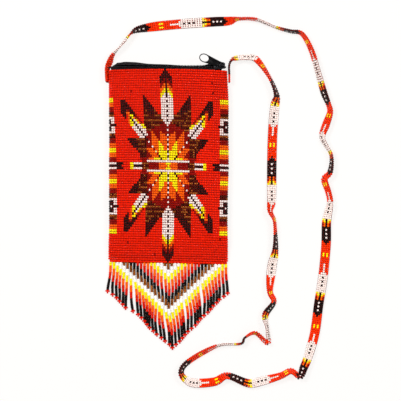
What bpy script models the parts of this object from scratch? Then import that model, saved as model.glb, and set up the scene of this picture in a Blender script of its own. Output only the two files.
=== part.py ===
# Loom-beaded phone pouch with a zip top, a beaded fringe and a long beaded shoulder strap.
# Metres, +Z up. The pouch lies on its back with its mouth towards +Y.
# The origin is the middle of the pouch's back, on the surface that it lies on.

import math

import bmesh
import bpy
from mathutils import Vector

MM = 0.001

# Gap kept between solids that touch on the real bag
CLEARANCE = 0.3 * MM

# Beadwork: one woven layer is one bead thick
BEAD_DIAMETER = 2.0 * MM
COLUMN_PITCH = 1.415 * MM
ROW_PITCH = 2.02 * MM
COLUMNS = 71
ROWS = 81
ROW_GROOVE = 0.45 * MM

# Pouch: a flattened tube, sewn shut along its lower edge
POUCH_WIDTH = COLUMNS * COLUMN_PITCH
POUCH_LENGTH = ROWS * ROW_PITCH
POUCH_DEPTH = 10.6 * MM
SEAM_DEPTH = 2 * BEAD_DIAMETER + CLEARANCE
SEAM_TAPER = 26 * MM
SEAM_TO_POCKET = 8 * MM
CROWN = 0.8 * MM
SIDE_STEPS = 4
CROWN_STEPS = 4
POCKET_STEPS = 7
# The ridges of the rows meet at more than this and the steps of the sides at less
ROW_EDGE_DEGREES = 47
MOUTH_Y = POUCH_LENGTH / 2
SEAM_Y = -POUCH_LENGTH / 2
MOUTH_WALL_Z = POUCH_DEPTH - BEAD_DIAMETER

# Fringe: hanging strings of beads, each two beads longer than the one outside it
STRANDS = 35
STRAND_BEAD_LENGTH = 1.39 * MM
STRAND_RADIUS = 1.0 * MM
EDGE_STRAND_BEADS = 17
BEADS_ADDED = 2
STRAND_MARGIN = COLUMN_PITCH
PICOT_RADIUS = 1.3 * MM
PICOT_LENGTH = 2.6 * MM
PICOT_WAIST = 0.7
PICOT_WAIST_AT = 0.08
PICOT_WIDEST_AT = 0.42
PICOT_END = 0.55
STRAND_SETTLE = 14 * MM
STRAND_SWEEP = 1.3
# How far the tip of a strand lies to the right of its root, as (strand, bead widths)
STRAND_LEAN = [(0, -1.0), (5, -0.5), (7, 1.1), (15, 2.1), (19, 2.1), (28, 1.1), (34, 0.8)]

# Zip: nylon coil on two woven tapes, which are sewn inside the mouth
TAPE_THICKNESS = 0.6 * MM
TAPE_UNDERLAP = 8.2 * MM
TAPE_RISE = 1.1 * MM
TAPE_BEND = 0.35 * MM
ZIP_LEFT_INSET = 7.45 * MM
ZIP_RIGHT_INSET = 2.25 * MM
ZIP_LEFT_X = ZIP_LEFT_INSET - POUCH_WIDTH / 2
ZIP_RIGHT_X = POUCH_WIDTH / 2 - ZIP_RIGHT_INSET
TUCK_LENGTH = 4.2 * MM
TUCK_SHARE = 0.25
LAP_TAPER = 2.2 * MM
LAP_LEFT_OVER = 0.05
# Bend of the back tape round the open edge, as shares of its fall: (inwards, down)
TAPE_WRAP = [(0.12, 0), (0.03, 0.06), (0, 0.2), (0, 0.6), (0.08, 0.85), (0.25, 0.97), (0.4, 1)]
COIL_WIDTH = 1.1 * MM
COIL_GAP = 0.9 * MM
COIL_HEIGHT = 1.4 * MM
COIL_PITCH = 1.3 * MM
COIL_GROOVE = 0.4 * MM
COIL_FROM_EDGE = 1.5 * MM
WRAP_FROM_COIL = 1.0 * MM

# Slider
SLIDER_LENGTH = 9.4 * MM
SLIDER_WIDTH = 5.6 * MM
SLIDER_FROM_ZIP_END = 0.2 * MM
SLIDER_RIGHT_X = ZIP_RIGHT_X - SLIDER_FROM_ZIP_END
SLIDER_PLATE = 0.8 * MM
SLIDER_CORNER = 1.6 * MM
SLIDER_OVERLAP = 0.2 * MM
FLANGE_DEPTH = 0.5 * MM
FLANGE_WIDTH = 0.5 * MM
FLANGE_INSET = 0.05 * MM
LOWER_PLATE = 0.7 * MM
LOWER_PLATE_WIDTH = 3.6 * MM
LOWER_PLATE_CORNER = 1.1 * MM
POST_LENGTH = 1.8 * MM
POST_THICKNESS = 0.4 * MM
POST_FROM_END = 0.6 * MM
BAIL_WIDTH = 1.0 * MM
BAIL_THICKNESS = 0.9 * MM
BAIL_REACH_TAIL = 2.0 * MM
BAIL_REACH_NOSE = 1.7 * MM
BAIL_FROM_END = 0.2 * MM
BAIL_SHOULDER = 0.6 * MM

# Pull: a flat tab with a slot for the bail and an oval finger ring
PULL_THICKNESS = 1.0 * MM
PULL_BAR = 1.0 * MM
PULL_SLOT_LENGTH = 3.0 * MM
PULL_SLOT_WIDTH = 3.3 * MM
PULL_SLOT_WALL = 0.7 * MM
PULL_SLOT_CORNER = 0.5 * MM
PULL_END_CORNER = 1.2 * MM
PULL_RING_CENTRE = 16.6 * MM
PULL_RING_HOLE_LENGTH = 7.4 * MM
PULL_RING_HOLE_WIDTH = 5.8 * MM
PULL_RING_WALL = 0.75 * MM
PULL_SWIVEL = math.radians(22)

# Strap: a loom band that lies in a loose loop
STRAP_WIDTH = 7.8 * MM
STRAP_THICKNESS = 2.0 * MM
STRAP_EDGE = 0.8 * MM
STRAP_LIFT = 0.05 * MM
STRAP_POINTS = 80
# Route of the strap's middle, as (x, y) in millimetres and its roll in degrees.
# At roll 0 the band lies flat, and at roll 90 it stands on its edge.
STRAP_ROUTE = [
    (-51.6, 70, 90), (-51.6, 76, 90), (-51.4, 82.4, 88), (-49.2, 88, 74), (-46.8, 93.6, 70),
    (-38.6, 102.9, 50), (-32.7, 110.5, 66), (-27.2, 114.4, 50), (-18.7, 116.4, 24), (-7, 118.2, 6),
    (14.2, 120.2, 0), (37.8, 121.7, 8), (51.3, 122.2, 28), (59.3, 123.9, 66), (74.1, 123.4, 62),
    (91, 116.8, 66), (103.6, 113.4, 66), (113, 111.3, 62), (121, 97.4, 58), (126.9, 78, 45),
    (131.5, 62, 38), (135.4, 51.8, 66), (136.8, 45, 60), (133.2, 34, 42), (130.3, 23.1, 54),
    (137.7, 8.8, 58), (136.8, -5.6, 58), (132, -11.5, 60), (135.3, -22.5, 52), (136.8, -31.7, 44),
    (134, -47, 22), (133.6, -67.2, 4), (131, -94.2, 8), (127.3, -117.8, 12), (124.1, -141.5, 8),
    (118.4, -161.7, 30), (114.6, -171, 38), (111.2, -178.4, 60), (103.9, -173.7, 62), (95.2, -177.7, 56),
    (79.2, -182.3, 30), (67.8, -184.2, 38), (50, -177.7, 55), (39.5, -182.8, 32), (21.8, -184, 26),
    (12.9, -179.4, 58), (11, -173.5, 60), (15.9, -166.8, 56), (30.2, -157.7, 58), (44.6, -151.6, 74),
    (61.4, -150.7, 80), (64.7, -145.7, 82), (73.3, -141.5, 70), (81.3, -148.2, 66), (84.6, -149.7, 60),
    (83.6, -137.2, 66), (82.1, -126.3, 48), (89.3, -115.3, 60), (85.9, -106, 54), (87.6, -86.6, 8),
    (90.4, -72.2, 38), (90.6, -58.7, 56), (89.6, -46.1, 58), (86.1, -38.5, 50), (87.4, -29.2, 22),
    (87.6, -3.9, 3), (88.3, 25.7, 4), (90.1, 50.1, 18), (91.6, 59.4, 56), (85.9, 73.8, 66),
    (74.9, 89.4, 42), (66.5, 91.5, 40), (57.2, 90.7, 60), (53.4, 89, 80), (51.5, 84.5, 88),
    (51.6, 77, 90), (51.6, 70, 90),
]


def ease(share):
    # Smooth rise from 0 to 1
    share = min(max(share, 0.0), 1.0)
    return share * share * (3 - 2 * share)


def new_material(name, colour, roughness, metallic=0.0):
    material = bpy.data.materials.new(name)
    material.use_nodes = True
    shader = material.node_tree.nodes["Principled BSDF"]
    shader.inputs["Base Color"].default_value = (*colour, 1.0)
    shader.inputs["Roughness"].default_value = roughness
    shader.inputs["Metallic"].default_value = metallic
    return material


def add_part(name, data, material, collection, parent=None):
    part = bpy.data.objects.new(name, data)
    collection.objects.link(part)
    data.materials.clear()
    data.materials.append(material)
    if parent is not None:
        part.parent = parent
    return part


def shade_round(mesh, sharp_degrees):
    mesh.shade_smooth()
    mesh.set_sharp_from_angle(angle=math.radians(sharp_degrees))


def loft(name, rings, closed=True):
    # Skin through rings of equally many points, with both ends closed when the rings are
    build = bmesh.new()
    loops = [[build.verts.new(point) for point in ring] for ring in rings]
    count = len(rings[0])
    last = count if closed else count - 1
    for lower, upper in zip(loops, loops[1:]):
        for i in range(last):
            j = (i + 1) % count
            build.faces.new((lower[i], lower[j], upper[j], upper[i]))
    if closed:
        build.faces.new(loops[0])
        build.faces.new(loops[-1])
    bmesh.ops.recalc_face_normals(build, faces=build.faces)
    mesh = bpy.data.meshes.new(name)
    build.to_mesh(mesh)
    build.free()
    return mesh


def flat_plate(name, outlines, thickness):
    # Flat plate in XY, half its thickness to each side. Outlines after the first are holes.
    curve = bpy.data.curves.new(name, "CURVE")
    curve.dimensions = "2D"
    curve.fill_mode = "BOTH"
    curve.extrude = thickness / 2
    for outline in outlines:
        spline = curve.splines.new("POLY")
        spline.points.add(len(outline) - 1)
        for point, (x, y) in zip(spline.points, outline):
            point.co = (x, y, 0, 1)
        spline.use_cyclic_u = True
    return curve


def to_mesh_object(curve, name, collection):
    # A curve made a mesh with its caps welded, so that it can be joined to another
    guide = bpy.data.objects.new(name + "_guide", curve)
    collection.objects.link(guide)
    graph = bpy.context.evaluated_depsgraph_get()
    mesh = bpy.data.meshes.new_from_object(guide.evaluated_get(graph))
    bpy.data.objects.remove(guide)
    build = bmesh.new()
    build.from_mesh(mesh)
    bmesh.ops.remove_doubles(build, verts=build.verts, dist=1e-6)
    bmesh.ops.recalc_face_normals(build, faces=build.faces)
    build.to_mesh(mesh)
    build.free()
    part = bpy.data.objects.new(name, mesh)
    collection.objects.link(part)
    return part


def block(name, size, centre, collection):
    build = bmesh.new()
    bmesh.ops.create_cube(build, size=1.0)
    bmesh.ops.scale(build, vec=size, verts=build.verts)
    mesh = bpy.data.meshes.new(name)
    build.to_mesh(mesh)
    build.free()
    part = bpy.data.objects.new(name, mesh)
    part.location = centre
    collection.objects.link(part)
    return part


def join_to(part, other):
    # Boolean union with a helper that isn't rendered
    other.hide_render = True
    other.display_type = "WIRE"
    union = part.modifiers.new("join_" + other.name, "BOOLEAN")
    union.operation = "UNION"
    union.solver = "EXACT"
    union.object = other


def rounded_outline(x0, x1, y0, y1, corner, steps=3):
    # Rectangle with round corners
    centres = [
        (x1 - corner, y1 - corner, 0),
        (x0 + corner, y1 - corner, 90),
        (x0 + corner, y0 + corner, 180),
        (x1 - corner, y0 + corner, 270),
    ]
    points = []
    for x, y, start in centres:
        for k in range(steps + 1):
            angle = math.radians(start + 90 * k / steps)
            points.append((x + corner * math.cos(angle), y + corner * math.sin(angle)))
    return points


def arc_points(centre, half_length, half_width, start, end, steps):
    points = []
    for k in range(steps + 1):
        angle = math.radians(start + (end - start) * k / steps)
        points.append((centre + half_length * math.cos(angle), half_width * math.sin(angle)))
    return points


# Pouch

def pouch_depth(y):
    # The front slopes down to the lower seam
    return SEAM_DEPTH + (POUCH_DEPTH - SEAM_DEPTH) * ease((y - SEAM_Y) / SEAM_TAPER)


def pouch_ring(y, inset, base):
    # Section across the pouch: flat back, round sides and a slightly crowned front
    half = POUCH_WIDTH / 2 - inset
    top = pouch_depth(y) - inset
    rise = (top - base) / 2
    middle = base + rise
    straight = half - rise
    crown = CROWN * math.sin(math.pi * (y - SEAM_Y) / POUCH_LENGTH)
    ring = [(straight, base)]
    for k in range(1, SIDE_STEPS):
        angle = math.pi * (k / SIDE_STEPS - 0.5)
        ring.append((straight + rise * math.cos(angle), middle + rise * math.sin(angle)))
    for k in range(CROWN_STEPS + 1):
        u = 1 - 2 * k / CROWN_STEPS
        ring.append((straight * u, top + crown * (1 - u * u)))
    for k in range(1, SIDE_STEPS):
        angle = math.pi * (0.5 - k / SIDE_STEPS)
        ring.append((-straight - rise * math.cos(angle), middle + rise * math.sin(angle)))
    ring.append((-straight, base))
    return [(x, y, z) for x, z in ring]


def make_pouch(collection):
    rings = []
    for row in range(ROWS):
        y = SEAM_Y + row * ROW_PITCH
        rings.append(pouch_ring(y, ROW_GROOVE, 0))
        rings.append(pouch_ring(y + ROW_PITCH / 2, 0, 0))
    rings.append(pouch_ring(MOUTH_Y, ROW_GROOVE, 0))
    pocket_end = SEAM_Y + SEAM_TO_POCKET
    for k in range(POCKET_STEPS + 1):
        # The inner wall has more sections where the pouch tapers
        share = (k / POCKET_STEPS) ** 0.5
        y = MOUTH_Y + (pocket_end - MOUTH_Y) * share
        rings.append(pouch_ring(y, BEAD_DIAMETER, BEAD_DIAMETER))
    mesh = loft("beadwork_pouch", rings)
    shade_round(mesh, ROW_EDGE_DEGREES)
    red = new_material("red_beadwork", (0.82, 0.02, 0.005), 0.3)
    return add_part("beadwork_pouch", mesh, red, collection)


# Fringe

def strand_lean(strand):
    for (first, low), (last, high) in zip(STRAND_LEAN, STRAND_LEAN[1:]):
        if first <= strand <= last:
            widths = low + (high - low) * (strand - first) / (last - first)
            return 2 * STRAND_RADIUS * widths
    return 2 * STRAND_RADIUS * STRAND_LEAN[-1][1]


def strand_beads(strand):
    from_edge = min(strand, STRANDS - 1 - strand)
    return EDGE_STRAND_BEADS + BEADS_ADDED * from_edge


def make_strand(strand, material, collection):
    # A string of beads with a three-bead picot at its tip
    pitch = (POUCH_WIDTH - 2 * STRAND_MARGIN) / (STRANDS - 1)
    root_x = -POUCH_WIDTH / 2 + STRAND_MARGIN + strand * pitch
    root_y = SEAM_Y - CLEARANCE
    root_z = SEAM_DEPTH / 2
    body = strand_beads(strand) * STRAND_BEAD_LENGTH
    length = body + PICOT_LENGTH
    stations = [(0, 1.0), (STRAND_SETTLE / 2, 1.0), (STRAND_SETTLE, 1.0), (body, 1.0)]
    if body > 3 * STRAND_SETTLE:
        stations.insert(3, ((STRAND_SETTLE + body) / 2, 1.0))
    picot = PICOT_RADIUS / STRAND_RADIUS
    stations.append((body + PICOT_WAIST_AT * PICOT_LENGTH, PICOT_WAIST))
    stations.append((body + PICOT_WIDEST_AT * PICOT_LENGTH, picot))
    stations.append((length, PICOT_END))
    name = "fringe_strand_%02d" % (strand + 1)
    curve = bpy.data.curves.new(name, "CURVE")
    curve.dimensions = "3D"
    curve.bevel_depth = STRAND_RADIUS
    curve.bevel_resolution = 1
    curve.use_fill_caps = True
    curve.resolution_u = 1
    spline = curve.splines.new("POLY")
    spline.points.add(len(stations) - 1)
    rest_z = PICOT_RADIUS
    for point, (along, radius) in zip(spline.points, stations):
        x = root_x + strand_lean(strand) * (along / length) ** STRAND_SWEEP
        z = root_z + (rest_z - root_z) * ease(along / STRAND_SETTLE)
        point.co = (x, root_y - along, z, 1)
        point.radius = radius
    return add_part(name, curve, material, collection)


# Zip

COIL_FRONT_Y = MOUTH_Y + COIL_FROM_EDGE - COIL_WIDTH
ZIP_Y = MOUTH_Y + COIL_FROM_EDGE + COIL_GAP / 2
COIL_BACK_Y = ZIP_Y + COIL_GAP / 2
LAP_FRONT_Z = MOUTH_WALL_Z - CLEARANCE - TAPE_THICKNESS / 2
LAP_BACK_Z = BEAD_DIAMETER + CLEARANCE + TAPE_THICKNESS / 2
TAPE_TOP_Z = LAP_FRONT_Z + TAPE_RISE
COIL_Z = TAPE_TOP_Z + TAPE_THICKNESS / 2 + CLEARANCE
WRAP_Y = COIL_BACK_Y + COIL_WIDTH + WRAP_FROM_COIL - TAPE_THICKNESS / 2
# Inside the mouth a tape lies on the flat of the wall and stops where the wall turns up
LAP_LIMIT_X = POUCH_WIDTH / 2 - BEAD_DIAMETER - (MOUTH_WALL_Z - BEAD_DIAMETER) / 2


def make_tape(name, profile, material, collection):
    # A woven tape: its section in YZ is carried along X, and its left end is tucked in
    near = MOUTH_Y + CLEARANCE + TAPE_THICKNESS / 2
    left_end = ZIP_LEFT_X - TUCK_LENGTH
    stations = [left_end, -LAP_LIMIT_X, ZIP_LEFT_X, LAP_LIMIT_X - LAP_TAPER, LAP_LIMIT_X, ZIP_RIGHT_X]
    rings = []
    for x in sorted(stations):
        tuck = min(max((x - left_end) / TUCK_LENGTH, 0.0), 1.0)
        reach = TUCK_SHARE + (1 - TUCK_SHARE) * tuck
        lap = min(max((LAP_LIMIT_X - abs(x)) / LAP_TAPER, LAP_LEFT_OVER), 1.0)
        rings.append([(x, near + (y - near) * (reach if y > near else lap), z) for y, z in profile])
    part = add_part(name, loft(name, rings, closed=False), material, collection)
    cloth = part.modifiers.new("cloth", "SOLIDIFY")
    cloth.thickness = TAPE_THICKNESS
    cloth.offset = 0
    cloth.use_even_offset = True
    return part


def make_tapes(collection):
    cloth = new_material("black_zip_tape", (0.012, 0.012, 0.014), 0.75)
    lap_y = MOUTH_Y - TAPE_UNDERLAP
    up_y = MOUTH_Y + CLEARANCE + TAPE_THICKNESS / 2
    front = [
        (lap_y, LAP_FRONT_Z),
        (up_y - TAPE_BEND, LAP_FRONT_Z),
        (up_y, LAP_FRONT_Z + TAPE_BEND),
        (up_y, TAPE_TOP_Z - TAPE_BEND),
        (up_y + TAPE_BEND, TAPE_TOP_Z),
        (ZIP_Y - COIL_GAP / 2, TAPE_TOP_Z),
    ]
    make_tape("zip_tape_front", front, cloth, collection)
    fall = TAPE_TOP_Z - LAP_BACK_Z
    back = [(ZIP_Y + COIL_GAP / 2, TAPE_TOP_Z)]
    back += [(WRAP_Y - inwards * fall, TAPE_TOP_Z - down * fall) for inwards, down in TAPE_WRAP]
    back.append((lap_y, LAP_BACK_Z))
    make_tape("zip_tape_back", back, cloth, collection)


def make_coil(name, y0, material, collection):
    # One side of the coil, as a bar with a ridge for each turn
    turns = round((ZIP_RIGHT_X - ZIP_LEFT_X) / COIL_PITCH)
    step = (ZIP_RIGHT_X - ZIP_LEFT_X) / (2 * turns)
    rings = []
    for k in range(2 * turns + 1):
        x = ZIP_LEFT_X + k * step
        low = COIL_GROOVE if k % 2 == 0 else 0.0
        side = low / 3
        top = COIL_Z + COIL_HEIGHT - low
        inner = y0 + side
        outer = y0 + COIL_WIDTH - side
        rings.append([(x, inner, COIL_Z), (x, outer, COIL_Z), (x, outer, top), (x, inner, top)])
    return add_part(name, loft(name, rings), material, collection)


# Slider and pull

PLATE_Z = COIL_Z + COIL_HEIGHT + CLEARANCE
LOWER_PLATE_TOP_Z = LAP_FRONT_Z - TAPE_THICKNESS / 2 - CLEARANCE
PLATE_TOP_Z = PLATE_Z + SLIDER_PLATE
HINGE_X = SLIDER_RIGHT_X - BAIL_FROM_END - BAIL_REACH_NOSE
HINGE_Z = PLATE_TOP_Z + CLEARANCE + PULL_THICKNESS / 2


def make_slider(collection, helpers, slide):
    steel = new_material("dark_slider_metal", (0.10, 0.10, 0.11), 0.35, 0.9)
    left = SLIDER_RIGHT_X - SLIDER_LENGTH
    half = SLIDER_WIDTH / 2
    outline = rounded_outline(left, SLIDER_RIGHT_X, -half, half, SLIDER_CORNER)
    slider = to_mesh_object(flat_plate("zip_slider", [outline], SLIDER_PLATE), "zip_slider", collection)
    slider.location = (0, ZIP_Y, PLATE_Z + SLIDER_PLATE / 2)
    slider.data.materials.clear()
    slider.data.materials.append(steel)
    lower_half = LOWER_PLATE_WIDTH / 2
    outline = rounded_outline(left, SLIDER_RIGHT_X, -lower_half, lower_half, LOWER_PLATE_CORNER)
    lower = to_mesh_object(flat_plate("slider_lower", [outline], LOWER_PLATE), "slider_lower", helpers)
    lower.location = (0, ZIP_Y, LOWER_PLATE_TOP_Z - LOWER_PLATE / 2)
    post_height = PLATE_Z - LOWER_PLATE_TOP_Z + 2 * SLIDER_OVERLAP
    post_x = SLIDER_RIGHT_X - POST_FROM_END - POST_LENGTH / 2
    post_size = (POST_LENGTH, POST_THICKNESS, post_height)
    post_centre = (post_x, ZIP_Y, (PLATE_Z + LOWER_PLATE_TOP_Z) / 2)
    post = block("slider_post", post_size, post_centre, helpers)
    flange_length = SLIDER_LENGTH - 2 * SLIDER_CORNER
    flange_size = (flange_length, FLANGE_WIDTH, FLANGE_DEPTH + SLIDER_OVERLAP)
    flange_z = PLATE_Z + (SLIDER_OVERLAP - FLANGE_DEPTH) / 2
    flange_y = half - FLANGE_WIDTH / 2 - FLANGE_INSET
    middle_x = left + SLIDER_LENGTH / 2
    front = block("slider_flange_front", flange_size, (middle_x, ZIP_Y - flange_y, flange_z), helpers)
    back = block("slider_flange_back", flange_size, (middle_x, ZIP_Y + flange_y, flange_z), helpers)
    bail = make_bail(helpers)
    for piece in (post, lower, front, back, bail):
        piece.parent = slide
        join_to(slider, piece)
    slider.parent = slide
    return slider


def make_bail(helpers):
    # Low arch over the pull's end bar, in the plane of travel
    inner_z = HINGE_Z + PULL_THICKNESS / 2 + CLEARANCE
    height = inner_z - PLATE_TOP_Z
    tail = -BAIL_REACH_TAIL
    nose = BAIL_REACH_NOSE
    foot = -SLIDER_OVERLAP
    outline = [
        (nose, foot),
        (nose, height + BAIL_THICKNESS - BAIL_SHOULDER),
        (nose - BAIL_SHOULDER, height + BAIL_THICKNESS),
        (tail + BAIL_SHOULDER, height + BAIL_THICKNESS),
        (tail, height + BAIL_THICKNESS - BAIL_SHOULDER),
        (tail, foot),
        (tail + BAIL_THICKNESS, foot),
        (tail + BAIL_THICKNESS, height),
        (nose - BAIL_THICKNESS, height),
        (nose - BAIL_THICKNESS, foot),
    ]
    bail = to_mesh_object(flat_plate("slider_bail", [outline], BAIL_WIDTH), "slider_bail", helpers)
    bail.rotation_euler = (math.radians(90), 0, 0)
    bail.location = (HINGE_X, ZIP_Y, PLATE_TOP_Z)
    return bail


def make_pull(collection, slide):
    # Its own X axis runs from the end bar to the ring, and its origin is on the end bar
    enamel = new_material("black_pull_enamel", (0.008, 0.008, 0.01), 0.25)
    bar = PULL_BAR / 2
    slot_half = PULL_SLOT_WIDTH / 2
    end_half = slot_half + PULL_SLOT_WALL
    ring_half = PULL_RING_HOLE_WIDTH / 2 + PULL_RING_WALL
    ring_reach = PULL_RING_HOLE_LENGTH / 2 + PULL_RING_WALL
    corner = PULL_END_CORNER
    cut = corner * (1 - math.sqrt(0.5))
    body = arc_points(PULL_RING_CENTRE, ring_reach, ring_half, -90, 90, 12)
    body += [
        (bar + PULL_SLOT_LENGTH, end_half),
        (corner - bar, end_half),
        (cut - bar, end_half - cut),
        (-bar, end_half - corner),
        (-bar, corner - end_half),
        (cut - bar, cut - end_half),
        (corner - bar, -end_half),
        (bar + PULL_SLOT_LENGTH, -end_half),
    ]
    slot_end = bar + PULL_SLOT_LENGTH
    slot = rounded_outline(bar, slot_end, -slot_half, slot_half, PULL_SLOT_CORNER, 2)
    hole_length = PULL_RING_HOLE_LENGTH / 2
    hole_width = PULL_RING_HOLE_WIDTH / 2
    ring_hole = arc_points(PULL_RING_CENTRE, hole_length, hole_width, 0, 342, 19)
    curve = flat_plate("zip_pull", [body, slot, ring_hole], PULL_THICKNESS)
    pull = add_part("zip_pull", curve, enamel, collection, slide)
    pull.location = (HINGE_X, ZIP_Y, HINGE_Z)
    pull.rotation_euler = (0, 0, math.pi - PULL_SWIVEL)
    return pull


# Strap

def smooth_route(route, samples):
    # Curve through every route point, read at evenly spaced parameters
    points = [Vector(point) for point in route]
    points = [2 * points[0] - points[1], *points, 2 * points[-1] - points[-2]]
    spans = len(points) - 3
    found = []
    for k in range(samples):
        place = min(k * spans / (samples - 1), spans - 1e-9)
        i = int(place)
        t = place - i
        p0, p1, p2, p3 = points[i:i + 4]
        a = p0 * (-t ** 3 + 2 * t ** 2 - t)
        b = p1 * (3 * t ** 3 - 5 * t ** 2 + 2)
        c = p2 * (-3 * t ** 3 + 4 * t ** 2 + t)
        d = p3 * (t ** 3 - t ** 2)
        found.append((a + b + c + d) / 2)
    return found


def band_height(roll):
    # Height of the middle of a band that is rolled about its length and touches the surface
    across = STRAP_WIDTH / 2 * abs(math.sin(roll))
    return across + STRAP_THICKNESS / 2 * abs(math.cos(roll))


def make_strap(collection, helpers):
    half = STRAP_WIDTH / 2
    flat = half - STRAP_EDGE
    thick = STRAP_THICKNESS / 2
    section = [(half, 0), (flat, -thick), (-flat, -thick), (-half, 0), (-flat, thick), (flat, thick)]
    profile = bpy.data.curves.new("strap_section", "CURVE")
    profile.dimensions = "2D"
    profile.fill_mode = "NONE"
    outline = profile.splines.new("POLY")
    outline.points.add(len(section) - 1)
    for point, (x, y) in zip(outline.points, section):
        point.co = (x, y, 0, 1)
    outline.use_cyclic_u = True
    guide = bpy.data.objects.new("strap_section", profile)
    guide.hide_render = True
    guide.display_type = "WIRE"
    helpers.objects.link(guide)
    curve = bpy.data.curves.new("strap", "CURVE")
    curve.dimensions = "3D"
    curve.twist_mode = "Z_UP"
    curve.bevel_mode = "OBJECT"
    curve.bevel_object = guide
    curve.use_fill_caps = True
    curve.resolution_u = 1
    spline = curve.splines.new("POLY")
    spline.points.add(STRAP_POINTS - 1)
    for point, (x, y, degrees) in zip(spline.points, smooth_route(STRAP_ROUTE, STRAP_POINTS)):
        roll = math.radians(degrees)
        point.co = (x * MM, y * MM, band_height(roll) + STRAP_LIFT, 1)
        point.tilt = roll
    red = new_material("strap_beadwork", (0.75, 0.03, 0.01), 0.3)
    return add_part("strap", curve, red, collection)


def main():
    for old in list(bpy.data.objects):
        bpy.data.objects.remove(old, do_unlink=True)
    parts = bpy.data.collections.new("Beaded phone pouch")
    helpers = bpy.data.collections.new("Cutters and guides")
    bpy.context.scene.collection.children.link(parts)
    bpy.context.scene.collection.children.link(helpers)
    make_pouch(parts)
    string = new_material("fringe_beads", (0.75, 0.12, 0.02), 0.3)
    for strand in range(STRANDS):
        make_strand(strand, string, parts)
    make_tapes(parts)
    nylon = new_material("black_zip_coil", (0.02, 0.02, 0.025), 0.4)
    make_coil("zip_coil_front", COIL_FRONT_Y, nylon, parts)
    make_coil("zip_coil_back", COIL_BACK_Y, nylon, parts)
    slide = bpy.data.objects.new("slider_travel", None)
    parts.objects.link(slide)
    make_slider(parts, helpers, slide)
    make_pull(parts, slide)
    make_strap(parts, helpers)


main()
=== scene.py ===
# Phone pouch of loom-woven seed beads, with a zip, a fringe and a long beaded strap
import math
import random
from bisect import bisect_right

import bmesh
import bpy
from mathutils import Matrix, Vector


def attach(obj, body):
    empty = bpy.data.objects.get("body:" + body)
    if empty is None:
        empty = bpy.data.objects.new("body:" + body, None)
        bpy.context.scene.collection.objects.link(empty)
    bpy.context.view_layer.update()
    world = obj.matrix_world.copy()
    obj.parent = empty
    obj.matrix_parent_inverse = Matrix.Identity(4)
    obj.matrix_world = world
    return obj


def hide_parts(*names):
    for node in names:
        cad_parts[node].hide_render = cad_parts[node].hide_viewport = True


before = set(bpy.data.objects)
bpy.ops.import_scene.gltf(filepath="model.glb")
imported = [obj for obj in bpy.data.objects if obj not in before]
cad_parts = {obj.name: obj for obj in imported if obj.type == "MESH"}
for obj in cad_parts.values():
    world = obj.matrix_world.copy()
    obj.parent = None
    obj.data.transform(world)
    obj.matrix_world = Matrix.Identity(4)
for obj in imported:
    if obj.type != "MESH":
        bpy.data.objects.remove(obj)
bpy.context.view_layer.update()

mm = 0.001
random.seed(11)


def tone(*shown):
    # Red, green and blue as a picture shows them, 0 to 255, made linear
    return tuple(((v / 255 + 0.055) / 1.055) ** 2.4 if v > 10 else v / 255 / 12.92 for v in shown)


def ease(share):
    share = min(max(share, 0.0), 1.0)
    return share * share * (3 - 2 * share)


def ramp(at, start, full):
    return ease((at - start) / (full - start))


def between(knots, at, gentle=False):
    # Lines through (place, value) pairs, straight or eased
    if at <= knots[0][0]:
        return knots[0][1]
    for (a, low), (b, high) in zip(knots, knots[1:]):
        if at <= b:
            share = (at - a) / (b - a)
            return low + (high - low) * (ease(share) if gentle else share)
    return knots[-1][1]


# Node trees

class Wire:
    # A socket that Python's own signs can be used on
    def __init__(self, board, socket):
        self.board = board
        self.socket = socket

    def other(self, name):
        # Another socket of the same node
        return Wire(self.board, self.socket.node.outputs[name])

    def __add__(self, other):
        return self.board.sum("ADD", self, other)

    def __radd__(self, other):
        return self.board.sum("ADD", other, self)

    def __sub__(self, other):
        return self.board.sum("SUBTRACT", self, other)

    def __rsub__(self, other):
        return self.board.sum("SUBTRACT", other, self)

    def __mul__(self, other):
        return self.board.sum("MULTIPLY", self, other)

    def __rmul__(self, other):
        return self.board.sum("MULTIPLY", other, self)


class Board:
    # A node tree and what makes its nodes
    def __init__(self, tree):
        self.tree = tree

    def node(self, kind, settings=None, values=None, out=0):
        made = self.tree.nodes.new(kind)
        for key, value in (settings or {}).items():
            setattr(made, key, value)
        for key, value in (values or {}).items():
            self.plug(made.inputs[key], value)
        return Wire(self, made.outputs[out])

    def plug(self, socket, value):
        if isinstance(value, Wire):
            self.tree.links.new(value.socket, socket)
        elif socket.type == "RGBA" and len(value) == 3:
            socket.default_value = (*value, 1.0)
        else:
            socket.default_value = value

    def sum(self, operation, *values):
        return self.node("ShaderNodeMath", {"operation": operation}, dict(enumerate(values)))

    def choose(self, share, first, second):
        return self.node("ShaderNodeMix", {"data_type": "FLOAT"}, {0: share, 2: first, 3: second})

    def mix(self, share, first, second, blend="MIX"):
        return self.node("ShaderNodeMix", {"data_type": "RGBA", "blend_type": blend},
                         {0: share, 6: first, 7: second}, 2)


class Finish(Board):
    # One material, its shader, and the nodes that feed it
    def __init__(self, name, **fixed):
        self.material = bpy.data.materials.new(name)
        self.material.use_nodes = True
        super().__init__(self.material.node_tree)
        self.shader = self.tree.nodes["Principled BSDF"]
        self.feed(**fixed)

    def feed(self, **values):
        for socket, value in values.items():
            self.plug(self.shader.inputs[socket.replace("_", " ")], value)

    def place(self):
        return self.node("ShaderNodeTexCoord", out="Object")

    def noise(self, scale, detail=2.0, roughness=0.5):
        return self.node("ShaderNodeTexNoise", None, {
            "Vector": self.place(), "Scale": scale, "Detail": detail, "Roughness": roughness})

    def wave(self, direction, **values):
        return self.node("ShaderNodeTexWave", {"bands_direction": direction},
                         {"Vector": self.place(), **{key.replace("_", " "): values[key] for key in values}},
                         "Fac")

    def bump(self, height, strength, distance):
        return self.node("ShaderNodeBump", None,
                         {"Height": height, "Strength": strength, "Distance": distance})


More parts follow.
